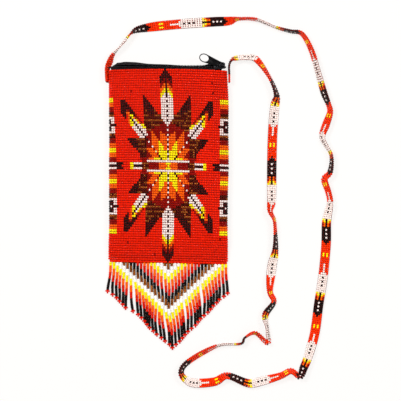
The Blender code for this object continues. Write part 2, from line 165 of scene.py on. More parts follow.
def glassFinish():
    # Opaque glass beads: the colour of each comes with it, and its gloss is a little uneven
    glass = Finish("glassBeads", Coat_Roughness=0.12, IOR=1.5, Specular_IOR_Level=0.12,
                   Specular_Tint=(1.0, 0.72, 0.52, 1.0))
    colour = glass.node("ShaderNodeAttribute", {"attribute_name": "beadColour"}, None, "Color")
    bronze = glass.node("ShaderNodeAttribute", {"attribute_name": "beadBronze"}, None, "Fac")
    swirl = glass.noise(900.0, 2.0, 0.6)
    cloud = glass.noise(60.0, 3.0, 0.6)
    shade = 0.90 + 0.12 * swirl + 0.08 * cloud
    grey = glass.node("ShaderNodeCombineColor", None, {0: shade, 1: shade, 2: shade})
    glass.feed(Base_Color=glass.mix(1.0, colour, grey, "MULTIPLY"), Metallic=bronze,
               Roughness=0.24 + 0.14 * cloud + 0.06 * swirl, Coat_Weight=0.08 * cloud)
    return glass.material


def threadFinish(name, colour):
    # Plied thread: fine slanted ridges. The colour is darker in their grooves, which is painted shade, and
    # the fuzz gives it an uneven tone
    thread = Finish(name, Specular_IOR_Level=0.3)
    twist = thread.wave("DIAGONAL", Scale=900.0, Distortion=1.5)
    fuzz = thread.noise(2500.0)
    thread.feed(Base_Color=thread.mix(twist * 0.5 + fuzz * 0.3, tuple(v * 0.6 for v in colour), colour),
                Roughness=0.65 + 0.2 * fuzz, Normal=thread.bump(twist + fuzz * 0.4, 0.5, 0.0001))
    return thread.material


# Geometry Nodes: a string or sheet of points becomes beads or turns of coil

class Growth(Board):
    def __init__(self, name):
        super().__init__(bpy.data.node_groups.new(name, "GeometryNodeTree"))
        for way in ("OUTPUT", "INPUT"):
            self.tree.interface.new_socket("Geometry", in_out=way, socket_type="NodeSocketGeometry")
        self.start = self.tree.nodes.new("NodeGroupInput")
        self.stop = self.tree.nodes.new("NodeGroupOutput")

    def takes(self, name, kind="Float"):
        self.tree.interface.new_socket(name, in_out="INPUT", socket_type="NodeSocket" + kind)
        return Wire(self, self.start.outputs[name])

    def axes(self):
        # Where each vertex is: its three coordinates
        split = self.node("ShaderNodeSeparateXYZ", None, {0: self.node("GeometryNodeInputPosition")})
        return [split.other(axis) for axis in "XYZ"]

    def vector(self, x, y, z):
        return self.node("ShaderNodeCombineXYZ", None, {0: x, 1: y, 2: z})

    def rotation(self, angles):
        return self.node("FunctionNodeEulerToRotation", None, {0: angles})

    def chance(self, low, high, seed, step):
        # A random number for each point
        own = self.node("FunctionNodeIntegerMath", {"operation": "ADD"}, {0: seed, 1: step})
        return self.node("FunctionNodeRandomValue", {"data_type": "FLOAT"}, {2: low, 3: high, 8: own}, 1)

    def pointTurn(self):
        return self.rotation(self.node("GeometryNodeInputNamedAttribute", {"data_type": "FLOAT_VECTOR"},
                                       {"Name": "beadTurn"}))

    def onPoints(self, copy, rotation, scale, finish):
        # The copies become real mesh and take their finish
        copies = self.node("GeometryNodeInstanceOnPoints", None,
                           {"Points": Wire(self, self.start.outputs["Geometry"]), "Instance": copy,
                            "Rotation": rotation, "Scale": scale})
        real = self.node("GeometryNodeRealizeInstances", None, {"Geometry": copies})
        done = self.node("GeometryNodeSetMaterial", None, {"Geometry": real, "Material": finish})
        self.plug(self.stop.inputs[0], done)


def beadGrowth():
    # A barrel-shaped bead on every point, along the point's own X
    grow = Growth("beadsOnPoints")
    length = grow.takes("Bead Length")
    width = grow.takes("Bead Width")
    endShare = grow.takes("End Share")
    sides = grow.takes("Sides", "Int")
    unevenness = grow.takes("Unevenness")
    tilt = grow.takes("Tilt")
    seed = grow.takes("Seed", "Int")
    finish = grow.takes("Finish", "Material")
    barrel = grow.node("GeometryNodeMeshCylinder", {"fill_type": "NGON"},
                       {"Vertices": sides, "Side Segments": 3, "Radius": width * 0.5, "Depth": length})
    x, y, z = grow.axes()
    atEnd = grow.sum("GREATER_THAN", grow.sum("ABSOLUTE", z), length * 0.4)
    narrow = grow.choose(atEnd, 1.0, endShare)
    spread = grow.choose(atEnd, 1.62, 1.0)
    bead = grow.node("GeometryNodeSetPosition", None,
                     {"Geometry": barrel, "Position": grow.vector(x * narrow, y * narrow, z * spread)})
    bead = grow.node("GeometryNodeSetShadeSmooth", None,
                     {"Geometry": bead, "Selection": barrel.other("Side")})
    bead = grow.node("GeometryNodeTransform", None, {"Geometry": bead, "Rotation": (0.0, math.pi / 2, 0.0)})
    # Each bead is rolled, leans a little and differs a little in size
    roll = grow.chance(0.0, 6.283, seed, 0)
    lean = [grow.chance(tilt * -1.0, tilt, seed, step) for step in (1, 2)]
    size = [grow.chance(1.0 - unevenness, 1.0 + unevenness, seed, step) for step in (3, 4)]
    turn = grow.node("FunctionNodeRotateRotation", {"rotation_space": "LOCAL"},
                     {"Rotation": grow.pointTurn(), "Rotate By": grow.rotation(grow.vector(roll, *lean))})
    grow.onPoints(bead, turn, grow.vector(size[0], size[1], size[1]), finish)
    return grow.tree


def settled(piece, finish):
    # The modifiers' result becomes the piece's own plain mesh
    rough = piece.data
    graph = bpy.context.evaluated_depsgraph_get()
    piece.data = bpy.data.meshes.new_from_object(piece.evaluated_get(graph))
    piece.modifiers.clear()
    bpy.data.meshes.remove(rough)
    piece.data.name = piece.name
    piece.data.materials.clear()
    piece.data.materials.append(finish)


def grown(name, points, tree, sizes, keep=("beadColour", "beadBronze")):
    # Points are (place, turn, colour, bronze), and the copies' mesh is at the origin
    seed = bpy.data.meshes.new(name)
    seed.from_pydata([point[0] for point in points], [], [])
    for label, kind, field, values in (
            ("beadTurn", "FLOAT_VECTOR", "vector", [v for point in points for v in point[1]]),
            ("beadColour", "FLOAT_COLOR", "color", [v for point in points for v in (*point[2], 1.0)]),
            ("beadBronze", "FLOAT", "value", [point[3] for point in points])):
        seed.attributes.new(label, kind, "POINT").data.foreach_set(field, values)
    piece = bpy.data.objects.new(name, seed)
    bpy.context.scene.collection.objects.link(piece)
    live = piece.modifiers.new("grow", "NODES")
    live.node_group = tree
    for item in tree.interface.items_tree:
        if item.in_out == "INPUT" and item.name in sizes:
            live[item.identifier] = sizes[item.name]
    settled(piece, sizes["Finish"])
    for extra in ("beadTurn", "beadColour", "beadBronze"):
        if extra not in keep and extra in piece.data.attributes:
            piece.data.attributes.remove(piece.data.attributes[extra])
    return piece


# Camera and cord come first

view = {"x": 27.26, "y": -29.6, "height": 1275.0, "lens": 135.0}
camera = bpy.data.objects.new("camera", bpy.data.cameras.new("camera"))
camera.data.lens = view["lens"]
camera.data.sensor_width = 36.0
camera.data.clip_end = 10.0
camera.location = (view["x"] * mm, view["y"] * mm, view["height"] * mm)
bpy.context.scene.collection.objects.link(camera)
bpy.context.scene.camera = camera

glass = glassFinish()
redThread = threadFinish("redThread", tone(140, 4, 0))
paleThread = threadFinish("paleThread", tone(140, 24, 14))
beadTree = beadGrowth()

# Colour, how much single beads differ in it, and how metallic the glass looks
beadTones = {
    "red": (tone(240, 31, 0), 0.05, 0.0),
    "scarlet": (tone(246, 50, 0), 0.05, 0.0),
    "ruby": (tone(214, 20, 0), 0.05, 0.0),
    "crimson": (tone(142, 6, 0), 0.16, 0.0),
    "orange": (tone(255, 100, 6), 0.05, 0.0),
    "yellow": (tone(252, 236, 8), 0.05, 0.0),
    "cream": (tone(250, 222, 130), 0.05, 0.0),
    "white": (tone(244, 230, 224), 0.03, 0.0),
    "snow": (tone(255, 250, 246), 0.05, 0.0),
    "umber": (tone(60, 18, 6), 0.3, 0.4),
    # gold is the fringe's own bead colour; in the pouch's bronze it is also a painted glint
    "goldAndGlint": (tone(158, 88, 32), 0.3, 0.7),
    "black": (tone(15, 9, 10), 0.2, 0.0),
}


oddBeads = {"share": 0.006, "shade": 0.8}  # now and then a bead is clearly darker


def beadTone(name, glint=False):
    # One bead: a little lighter or darker than its neighbours
    # A bronze bead that glints takes the lighter gold tone: a painted glint in place of the lamp's highlight
    # on metallic glass
    if name == "bronze":
        name = "goldAndGlint" if glint else "umber"
    colour, spread, bronze = beadTones[name]
    shade = 1 + random.uniform(-spread, spread)
    if name != "white" and random.random() < oddBeads["share"]:
        shade *= oddBeads["shade"]
    return tuple(min(1.0, v * shade) for v in colour), bronze


# Strap: a band five beads wide

strap = {
    "width": 7.8, "thickness": 2.0, "lift": 0.05, "columns": 5,
    "beadLength": 1.5, "beadWidth": 1.92, "endShare": 0.8, "thread": 0.56, "edgeThread": 0.2,
    "crowding": 0.985, "edgeCrowding": 0.99,  # the columns stand a little closer than the width allows
    "bareEnd": 0.6,  # no bead is nearer to the band's ends than this
    "curveSteps": 2400, "threadSteps": 330, "pathSteps": 240,
    # Middle of the band and its roll: (x, y, degrees)
    "route": [
        (-51.6, 70, 78), (-51.6, 76, 72), (-51.4, 82.4, 66), (-49.2, 88, 60), (-46.8, 93.6, 78),
        (-38.6, 102.9, 104), (-32.7, 110.5, 98), (-27.2, 114.4, 64), (-18.7, 116.4, 38), (-7, 118.2, 8),
        (14.2, 120.2, 0), (37.8, 121.7, 8), (51.3, 122.2, 34), (59.3, 123.9, 80), (74.1, 123.4, 82),
        (91, 116.8, 85), (103.6, 113.4, 81), (113, 111.3, 74), (121, 97.4, 66), (126.9, 78, 61),
        (131.5, 62, 56), (135.4, 51.8, 68), (136.8, 45, 60), (133.2, 34, 42), (130.3, 23.1, 64),
        (137.7, 8.8, 80), (136.8, -5.6, 64), (132, -11.5, 56), (135.3, -22.5, 60), (136.8, -31.7, 58),
        (134, -47, 22), (133.6, -67.2, 4), (131, -94.2, 8), (127.3, -117.8, 12), (124.1, -141.5, 8),
        (118.4, -161.7, 30), (114.6, -171, 38), (111.2, -178.4, 60), (103.9, -173.7, 62),
        (95.2, -177.7, 56), (79.2, -182.3, 30), (67.8, -184.2, 38), (50, -177.7, 55), (39.5, -182.8, 32),
        (21.8, -184, 26), (12.9, -179.4, 58), (11, -173.5, 60), (15.9, -166.8, 56), (30.2, -157.7, 58),
        (44.6, -151.6, 74), (61.4, -150.7, 80), (64.7, -145.7, 82), (73.3, -141.5, 70), (81.3, -148.2, 66),
        (84.6, -149.7, 60), (83.6, -137.2, 72), (82.1, -126.3, 48), (89.3, -115.3, 60), (85.9, -106, 54),
        (87.6, -86.6, 8), (90.4, -72.2, 50), (90.6, -58.7, 70), (89.6, -46.1, 74), (86.1, -38.5, 60),
        (87.4, -29.2, 22), (87.6, -3.9, 3), (88.3, 25.7, 4), (90.1, 50.1, 18), (91.6, 59.4, 56),
        (85.9, 73.8, 70), (74.9, 89.4, 48), (66.5, 91.5, 54), (57.2, 90.7, 60), (53.4, 89, 80),
        (51.5, 84.5, 88), (51.6, 77, 90), (51.6, 70, 90),
    ],
    # Along the route, in the photo's pixels: its length and one plain row, and for each repeat the yellow
    # pair, the start of the white and the end of the yellow
    "routePixels": 1174.0, "rowPixels": 2.0,
    "repeats": [
        (21.1, 31.3, 54.7), (88.5, 109.0, 134.0), (165.0, 186.0, 209.5), (242.0, 263.0, 288.5),
        (320.0, 340.4, 361.8), (394.6, 413.4, 433.8), (466.3, 486.9, 507.7), (538.5, 556.5, 575.6),
        (607.3, 627.0, 646.9), (681.5, 699.8, 717.3), (750.2, 769.4, 789.7), (812.0, 834.5, 857.5),
        (883.4, 901.6, 922.9), (957.2, 976.3, 996.8), (1033.3, 1054.3, 1075.9), (1115.7, 1127.2, 1147.5),
    ],
    # The rows of a repeat at which those three stand, and plain rows before the first repeat
    "marks": (1.0, 10.3, 20.8), "rowsInRepeat": 36, "leadRows": 12,
    # The first and last repeat leave out some rows of the white line
    "leftOut": {0: (5, 10), 15: (5, 9)},
}


def tubeMesh(build, points, radius, sides, finish=0):
    # A round tube through points, with its ends shut
    rings = []
    for k, point in enumerate(points):
        along = (points[min(k + 1, len(points) - 1)] - points[max(k - 1, 0)]).normalized()
        other = Vector((0, 0, 1)) if abs(along.z) < 0.9 else Vector((1, 0, 0))
        first = along.cross(other).normalized()
        second = along.cross(first)
        rings.append([build.verts.new(point + radius * (first * math.cos(2 * math.pi * i / sides)
                                                        + second * math.sin(2 * math.pi * i / sides)))
                      for i in range(sides)])
    faces = [build.faces.new(rings[0][::-1]), build.faces.new(rings[-1])]
    for low, high in zip(rings, rings[1:]):
        for i in range(sides):
            j = (i + 1) % sides
            faces.append(build.faces.new((low[i], low[j], high[j], high[i])))
    for face in faces:
        face.material_index = finish


def throughPoints(points, samples):
    # One smooth curve through every point, read at even steps
    points = [2 * points[0] - points[1], *points, 2 * points[-1] - points[-2]]
    spans = len(points) - 3
    found = []
    for k in range(samples):
        place = min(k * spans / (samples - 1), spans - 1e-9)
        i = int(place)
        t = place - i
        p0, p1, p2, p3 = points[i:i + 4]
        found.append((p0 * (-t ** 3 + 2 * t ** 2 - t) + p1 * (3 * t ** 3 - 5 * t ** 2 + 2)
                      + p2 * (-3 * t ** 3 + 4 * t ** 2 + t) + p3 * (t ** 3 - t ** 2)) / 2)
    return found


def bandHeight(roll):
    return strap["width"] / 2 * abs(math.sin(roll)) + strap["thickness"] / 2 * abs(math.cos(roll))


def strapBead(row, column):
    # Pattern of one repeat: feathers that point along the band
    side = abs(column - 2)
    if row < 2:
        return "yellow" if side == 1 else "scarlet"
    if row < 10:
        return "white" if row > 4 and side <= (0 if row < 9 else 1) else "scarlet"
    if row < 19:
        return "black" if side == 0 and row in (11, 13, 15) else "white"
    if row < 21:
        return ("black", "cream" if row == 19 else "yellow", "yellow" if row == 19 else "orange")[side]
    if row < 23:
        return ("black", "orange", "crimson")[side]
    if row < 30:
        return "white" if side == 0 and row in (24, 26, 28) else "black"
    if row < 32:
        return "black" if side < 32 - row else "scarlet"
    return "scarlet"


def makeStrap():
    fine = throughPoints([Vector(p) for p in strap["route"]], strap["curveSteps"])
    lengths = [0.0]
    for a, b in zip(fine, fine[1:]):
        lengths.append(lengths[-1] + (Vector(b[:2]) - Vector(a[:2])).length)
    total = lengths[-1]
    scale = total / strap["routePixels"]
    rowLength = strap["rowPixels"] * scale
    plain = strap["rowsInRepeat"] - 1
    # The kinds of row in order, and where some of them stand along the band
    sequence = [plain] * strap["leadRows"]
    knots = [(0, strap["repeats"][0][0] * scale - (strap["leadRows"] + 1) * rowLength)]
    for k, found in enumerate(strap["repeats"]):
        low, high = strap["leftOut"].get(k, (0, 0))
        shown = [row for row in range(strap["rowsInRepeat"]) if not low <= row < high]
        knots += [(len(sequence) + sum(min(max(mark - row, 0), 1) for row in shown), place * scale)
                  for mark, place in zip(strap["marks"], found)]
        sequence += [plain if k == 0 and row < 2 else row for row in shown]  # the first has no yellow pair
    knots.append((knots[-1][0] + 20, knots[-1][1] + 20 * rowLength))
    rows = [(between(knots, k + 0.5), row) for k, row in enumerate(sequence)]
    rows = [(place, row) for place, row in rows if strap["bareEnd"] < place < total - strap["bareEnd"]]

    def frameAt(distance):
        # The band at this distance: its middle, and the ways along it, across it and out of it
        k = min(max(bisect_right(lengths, distance) - 1, 0), len(lengths) - 2)
        share = (distance - lengths[k]) / max(lengths[k + 1] - lengths[k], 1e-9)
        here = fine[k].lerp(fine[k + 1], min(max(share, 0.0), 1.0))
        ahead = fine[min(k + 6, len(fine) - 1)] - fine[max(k - 5, 0)]
        along = Vector((ahead.x, ahead.y, 0)).normalized()
        roll = math.radians(here.z)
        across = Vector((-along.y, along.x, 0)) * math.cos(roll) + Vector((0, 0, 1)) * math.sin(roll)
        centre = Vector((here.x, here.y, bandHeight(roll) + strap["lift"]))
        return centre, along, across, across.cross(along)

    points = []
    columnPitch = strap["width"] / strap["columns"]
    for distance, row in rows:
        centre, along, across, out = frameAt(distance)
        turn = Matrix((across, along, out)).transposed().to_euler()
        sway = random.uniform(-0.06, 0.06)
        for column in range(strap["columns"]):
            offset = (column - 2) * columnPitch
            spot = centre + across * (offset * strap["crowding"])
            spot += along * (sway + random.uniform(-0.05, 0.05))
            colour, bronze = beadTone(strapBead(row, column))
            points.append((spot * mm, turn, colour, bronze))
    piece = grown("strap_beads", points, beadTree, {
        "Bead Length": strap["beadLength"] * mm, "Bead Width": strap["beadWidth"] * mm,
        "End Share": strap["endShare"], "Sides": 7, "Unevenness": 0.02, "Tilt": 0.03, "Seed": 5,
        "Finish": glass})
    # Warp threads between the columns and along both edges
    build = bmesh.new()
    build.from_mesh(piece.data)
    spots = [frameAt(total * k / strap["threadSteps"]) for k in range(strap["threadSteps"] + 1)]
    for line in range(strap["columns"] + 1):
        edge = line in (0, strap["columns"])
        offset = (line - strap["columns"] / 2) * columnPitch * strap["edgeCrowding" if edge else "crowding"]
        tubeMesh(build, [(spot + across * offset) * mm for spot, along, across, out in spots],
                 (strap["edgeThread"] if edge else strap["thread"]) * mm, 4, 1)
    build.to_mesh(piece.data)
    build.free()
    piece.data.materials.append(paleThread)
    path = [frameAt(total * k / strap["pathSteps"])[0] * mm for k in range(strap["pathSteps"] + 1)]
    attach(piece, "bag")
    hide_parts("strap")
    print("strap:", len(rows), "rows,", round(total), "mm")


makeStrap()


# Pouch: a flattened tube of beads

pouch = {
    "columnsRound": 146, "columnsAcross": 71, "rows": 81, "columnPitch": 1.415, "rowPitch": 2.02,
    "depth": 10.6, "seamDepth": 4.3, "taper": 26.0, "crown": 0.8,
    "beadLength": 1.31, "beadWidth": 1.91, "endShare": 0.66, "proud": 0.02, "thread": 0.44, "bands": 4,
    # Rows slope down to the right, less so at the top, and their ends hang below their middle,
    # by the first number half way up and by the second more at the top
    "slope": 1.0, "topSlope": 0.75, "bow": (0.67, 0.5), "topLift": 0.25, "drop": 0.7,
    "topPart": (0.7, 1.0), "backPart": (36, 44),  # shares of the half length, and columns out
    # The upper right columns stand nearer the middle: mm, and where that starts and is full
    "lag": 1.1, "lagRight": (26, 40), "lagEnd": (80, 60), "lagUp": (-8, 6),
    "sway": 0.06, "slack": 0.03,  # each row to the side, and each bead any way
    # How often a bronze bead takes a painted glint, the lighter gold tone in place of a highlight: in even
    # rows, in odd rows, and there beside one that does
    "evenGlint": 0.12, "oddGlint": 0.4, "nextGlint": 0.84,
    # The upper rows are spread a little, as far out as this column: (y, share)
    "spreadTo": 33, "stretch": [(-80, 0.995), (-40, 0.995), (0, 1.0), (25, 1.02), (45, 1.04), (80, 1.04)],
    # The tube is slipped round a little near the mouth: (y, mm)
    "slip": [(-80, -0.3), (-40, 0.1), (0, 0.1), (21, -0.17), (47, -0.68), (55, -1.0), (72, -1.86),
             (81, -2.5)],
    # How far the sides stand in: (y, mm), less and less to the middle
    "inFade": 5,
    "leftIn": [(-80.8, 0.4), (-78.7, -0.8), (-63, -0.4), (-50, 0.1), (0, -0.1), (20, 0.2), (55, -0.1),
               (80, -0.3)],
    "rightIn": [(-80.8, 0.2), (-78.7, -0.5), (-67, -0.5), (-45, -0.1), (-20, -0.5), (0, -1.2), (16, -1.2),
                (30, -0.8), (55, -1.2), (64, -0.8), (77, 0.2)],
    # Darker beads that the weaver let in: (column, row)
    "strays": [(-20, 31), (-24, -32), (-8, -37), (27, 35), (27, 31), (31, -30)],
}
halfWidth = pouch["columnsAcross"] * pouch["columnPitch"] / 2
halfLength = pouch["rows"] * pouch["rowPitch"] / 2


def inShape(a, b, corners):
    # Is (a, b) inside the outline?
    inside = False
    for (x1, y1), (x2, y2) in zip(corners, corners[1:] + corners[:1]):
        if (y1 > b) != (y2 > b) and a < x1 + (x2 - x1) * (b - y1) / (y2 - y1):
            inside = not inside
    return inside


# Outlines in beads from the star's centre: (columns out, rows out)
motif = {
    "uprightRay": [(0, 14.6), (13.5, 14.6), (13.5, 30.2), (13, 29.8), (0, 17.1)],
    "rayTip": [(8.5, 20.7), (13.6, 25.2), (13.6, 31), (6.6, 24.4)],
    "levelRay": [(0, 1.5), (15.4, 1.5), (16.8, 5.1), (24.6, 12), (0, 12)],
    "levelTip": [(15, 3.5), (16.8, 5.1), (24.6, 12), (18.4, 12), (17.6, 7.5)],
    "core": [(0, 0), (13, 1.5), (14.5, 11.5), (13.5, 15.5), (0, 15.5)],
    "orangeLevel": [(0, 1.5), (8.6, 3.6), (12.9, 7.6), (0, 7.6)],
    "orangeOuter": [(5.5, 4), (9.5, 4), (9.5, 14.5), (8.5, 14.5), (5.5, 10.4)],
    "orangeInner": [(0, 4), (5.5, 4), (5.5, 10.4), (4.5, 10.4), (4.5, 14.5), (3.6, 14.5), (0, 11.2)],
    "yellowStar": [(0, 2.5), (4.5, 2.5), (5.5, 4.5), (5.5, 10.4), (4.9, 10.4), (1.4, 6.2), (0, 5.6)],
    "barb": [(23.3, 19.5), (24.6, 19.5), (26.6, 22.2), (26.6, 27.6), (20, 27.6), (15, 22.5), (23.3, 22.5)],
}


def firstOf(limits, at):
    # The name beside the first limit that isn't passed
    for limit, name in limits:
        if at <= limit:
            return name
    return None


def feather(a, b):
    # Upright feather: a white vane whose tips turn yellow, orange and dark under an arrow head
    if a > min(b - 17, 3, 40 - b):
        return None
    if a == 0:
        return "black" if b > 28 or b % 2 == 1 else "white"
    for limit, name in ((29, "white"), (31, "yellow"), (33, "orange"), (35, "crimson")):
        if b + a - 3 < limit:
            return name
    return "black"


def slantFeather(a, b):
    # Feather on the slant: its shaft is the beads at a = b + 1
    step = a - b - 1
    if b > 22 or b < 3:
        return None
    if b < 12:
        if step != 0:
            return None
        return "black" if b in (3, 4, 11) else ("cream" if b == 6 else ("crimson" if b % 2 == 1 else "white"))
    if step == 0 and b < 21:
        return "black"
    if step > 0:
        if a > min(b + 4, 21 if b < 18 else 22):
            return None
        if b < 18:
            return "white" if b < 17 or a < 20 else "yellow"
        return "orange" if a == 22 else "yellow"
    if b < 14:
        return "white" if b == 13 and a in (12, 13) else None
    inward = a - math.floor(13 + 1.5 * max(b - 16, 0))
    if inward < 0:
        return None
    if b < 18:
        return "yellow" if b > 15 and inward < 2 else "white"
    if b < 21:
        return ("orange", "yellow", "white")[min(inward, 2)]
    return "yellow" if b == 21 and inward < 2 else "orange"


def middleBand(a, b):
    # The two feathers that point to the sides
    if b == 0:
        limits = [(0, "yellow"), (5, "orange"), (11, "crimson"), (15, "bronze"), (20, "black"),
                  (22, "yellow"), (27, "red"), (30, "black")]
    else:
        limits = [(1, "yellow"), (5, "orange"), (11, "crimson"), (15, "bronze"), (20, "white"),
                  (22, "yellow"), (26, "red"), (30, "black")]
    return firstOf(limits, a)


def sideBand(a, b):
    # Stripes at the sides, which run round to the back
    if b == 17:
        return "white" if a in (34, 39) else "black"
    if 15 <= b <= 19:
        return "white" if a < 33 or a > 40 else "black"
    stripes = [(0, "black"), (1, "white"), (3, "crimson"), (5, "orange"), (7, "yellow"), (9, "orange"),
               (11, "crimson"), (13, "bronze"), (20, "white"), (22, "bronze"), (24, "crimson"),
               (26, "orange"), (28, "yellow")]
    return firstOf(stripes, b)


def pouchBead(column, row):
    a = abs(column)
    b = abs(row)
    if (column, row) in pouch["strays"]:
        return "crimson"
    if 31 <= a <= 42:
        return sideBand(a, b) or "red"
    if a == 30 and b == 17:
        return "black"
    if a > 42:
        return "red"
    if b < 2:
        return middleBand(a, b) or "red"
    if b >= 18:
        found = feather(a, b)
        if found:
            return found
    if a == 0 and 3 <= b < 18:
        return "white" if b % 2 == 1 else ("black" if b < 12 else "crimson")
    if b == 2:
        return "white" if a <= 12 else ("crimson" if a < 16 else "red")
    found = slantFeather(a, b)
    if found:
        return found
    if b == 3:
        return ("yellow" if a < 9 else "orange") if a < 12 else ("crimson" if a < 17 else "red")
    if inShape(a, b, motif["yellowStar"]):
        return "yellow"
    if any(inShape(a, b, motif[name]) for name in ("orangeLevel", "orangeOuter", "orangeInner")):
        return "orange"
    if a > b - 4 and (17 <= b < 24 and a <= b or inShape(a, b, motif["barb"])):
        return "crimson" if a < 19 or (b == 23 and 21 < a < 24) else "black"
    if inShape(a, b, motif["uprightRay"]):
        if inShape(a, b, motif["rayTip"]):
            return "black"
        return "bronze" if b + 0.4 * a > 18.8 else "crimson"
    if inShape(a, b, motif["levelRay"]) and a > 9:
        return "black" if inShape(a, b, motif["levelTip"]) else ("bronze" if a > 12 else "crimson")
    if inShape(a, b, motif["core"]):
        return "crimson"
    return "red"


def pouchDepth(y):
    full = ease((y + halfLength) / pouch["taper"])
    return pouch["seamDepth"] + (pouch["depth"] - pouch["seamDepth"]) * full


def rowDrop(u, v):
    # How far the cloth hangs down at u across and v along the pouch, each from -1 to 1
    atTop = ramp(v, *pouch["topPart"])
    slope = pouch["slope"] - pouch["topSlope"] * atTop
    bow = pouch["bow"][0] + pouch["bow"][1] * v
    return slope * u + bow * u * u - pouch["topLift"] * atTop


def onPouch(column, row):
    # Centre and turn of one bead. Column 0 is the middle of the front
    y = row * pouch["rowPitch"]
    radius = pouch["beadWidth"] / 2 - pouch["proud"]
    depth = pouchDepth(y)
    bend = depth / 2 - radius
    flat = halfWidth - radius - bend
    girth = 4 * flat + 2 * math.pi * bend
    spread = between(pouch["stretch"], y)
    away = abs(column)
    held = pouch["spreadTo"]
    rest = pouch["columnsRound"] / 2
    if away > held:
        away = held * spread + (away - held) * (rest - held * spread) / (rest - held)
    else:
        away *= spread
    s = math.copysign(away, column) * girth / pouch["columnsRound"] + between(pouch["slip"], y)
    lag = pouch["lag"] * ramp(s, *pouch["lagRight"]) * ramp(s, *pouch["lagEnd"])
    s -= lag * ramp(y, *pouch["lagUp"])
    side = 1 if s >= 0 else -1
    s = abs(s)
    if s <= flat:
        x, z, turn = s, depth - radius, 0.0
        z += pouch["crown"] * math.sin(math.pi * (y + halfLength) / (2 * halfLength)) * (1 - (s / flat) ** 2)
    elif s <= flat + math.pi * bend:
        turn = (s - flat) / bend
        x = flat + bend * math.sin(turn)
        z = depth / 2 + bend * math.cos(turn)
    else:
        x, z, turn = 2 * flat + math.pi * bend - s, radius, math.pi
    x *= side
    turn *= side
    u = x / halfWidth
    v = y / halfLength
    leftIn = between(pouch["leftIn"], y) * ((1 - u) / 2) ** pouch["inFade"]
    rightIn = between(pouch["rightIn"], y) * ((1 + u) / 2) ** pouch["inFade"]
    x += leftIn - rightIn
    y -= rowDrop(u, v) + pouch["drop"]
    # The back rows lie half a row lower
    y -= 0.5 * pouch["rowPitch"] * ramp(abs(column), *pouch["backPart"])
    return Vector((x, y, z)), turn


def makePouch():
    middle = pouch["rows"] // 2
    count = pouch["columnsRound"]
    perBand = math.ceil(pouch["rows"] / pouch["bands"])
    for band in range(pouch["bands"]):
        points = []
        for index in range(band * perBand, min((band + 1) * perBand, pouch["rows"])):
            row = index - middle
            sway = random.uniform(-pouch["sway"], pouch["sway"])
            glint = False
            for column in range(-count // 2 + 1, count // 2 + 1):
                spot, turn = onPouch(column, row)
                aside = sway + random.uniform(-pouch["slack"], pouch["slack"])
                spot += Vector((aside, random.uniform(-pouch["slack"], pouch["slack"]), 0))
                # In bronze, runs of beads mostly in the odd rows take the gold tone: painted glints along the
                # rows
                often = pouch["evenGlint"]
                if row % 2:
                    often = pouch["nextGlint"] if glint else pouch["oddGlint"]
                glint = random.random() < often
                colour, bronze = beadTone(pouchBead(column, row), glint)
                points.append((spot * mm, (0.0, turn, 0.0), colour, bronze))
        piece = grown("pouch_beads_%d" % (band + 1), points, beadTree, {
            "Bead Length": pouch["beadLength"] * mm, "Bead Width": pouch["beadWidth"] * mm,
            "End Share": pouch["endShare"], "Sides": 7, "Unevenness": 0.015, "Tilt": 0.025, "Seed": 20 + band,
            "Finish": glass})
        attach(piece, "bag")
        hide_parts("beadwork_pouch")
        print("pouch beads", band + 1, len(points))


def fromBuild(name, build, finish, smooth=True):
    bmesh.ops.recalc_face_normals(build, faces=build.faces)
    mesh = bpy.data.meshes.new(name)
    build.to_mesh(mesh)
    build.free()
    if smooth:
        mesh.shade_smooth()
    mesh.materials.append(finish)
    piece = bpy.data.objects.new(name, mesh)
    bpy.context.scene.collection.objects.link(piece)
    return piece


def makeWarp():
    # The long threads between the columns, which show as a fine grid on pale beads
    count = pouch["columnsRound"]
    middle = pouch["rows"] // 2
    build = bmesh.new()
    for column in range(-count // 2 + 1, count // 2 + 1):
        points = []
        for k in range(0, pouch["rows"] + 3, 4):
            row = min(k, pouch["rows"] - 1) - middle
            points.append(onPouch(column + 0.5, row)[0] * mm)
        tubeMesh(build, points, pouch["thread"] * mm, 4)
    piece = fromBuild("pouch_warp", build, redThread)
    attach(piece, "bag")
    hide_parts("beadwork_pouch")
    print("warp threads", count)


makePouch()
makeWarp()


# Fringe

fringe = {
    "strands": 35, "edgeBeads": 17, "added": 2, "beadPitch": 1.39, "beadLength": 1.36, "beadWidth": 2.56,
    "endShare": 0.86, "margin": 1.415, "rootDrop": 0.6, "seamFollow": 0.9, "restHeight": 1.3,
    "settle": 14.0, "picot": 2.6,
    # A slow wave and a short one in each strand: (mm, mm for each radian), and where they are full
    "wave": (0.55, 8), "ripple": (0.3, 4.5), "calm": 24,
    # How the waves start: by the tuft, by chance and by the strand, in radians
    "tuftPhase": 2.1, "phaseSpread": 0.4, "strandPhase": 0.5,
    # Each tuft's first strand, how much of its width it loses, and between which lengths it does
    "tufts": [0, 7, 16, 22, 27, 35], "draw": 0.06, "drawn": (6, 36),
    # How far each tip lies to the right of its root, and how late a strand bends that way
    "sweep": 2.0,
    "lean": [-2.7, -1.6, -1.1, -1.5, -1.4, -1.4, 1.9, 2.5, 2.7, 3.0, 2.7, 2.2, 2.4, 2.3, 3.5, 3.8, 3.4,
             3.3, 3.4, 3.8, 3.5, 2.9, 2.2, 2.5, 2.9, 2.3, 1.7, 1.6, 1.7, 1.3, 0.7, 0.6, 0.1, 1.1, 1.6],
    # Colours from the tip up: seven black beads, then four of each
    "fromTip": ["black"] * 7 + [name for name in ("ruby", "orange", "yellow", "snow", "goldAndGlint", "black", "ruby",
                                                  "orange", "yellow", "snow", "goldAndGlint") for bead in range(4)],
    # The three beads that end a strand: (to the side, down, turned)
    "picotBeads": [(-0.82, 0.72, 0.6), (0.82, 0.72, -0.6), (0.0, 1.85, math.pi / 2)],
}


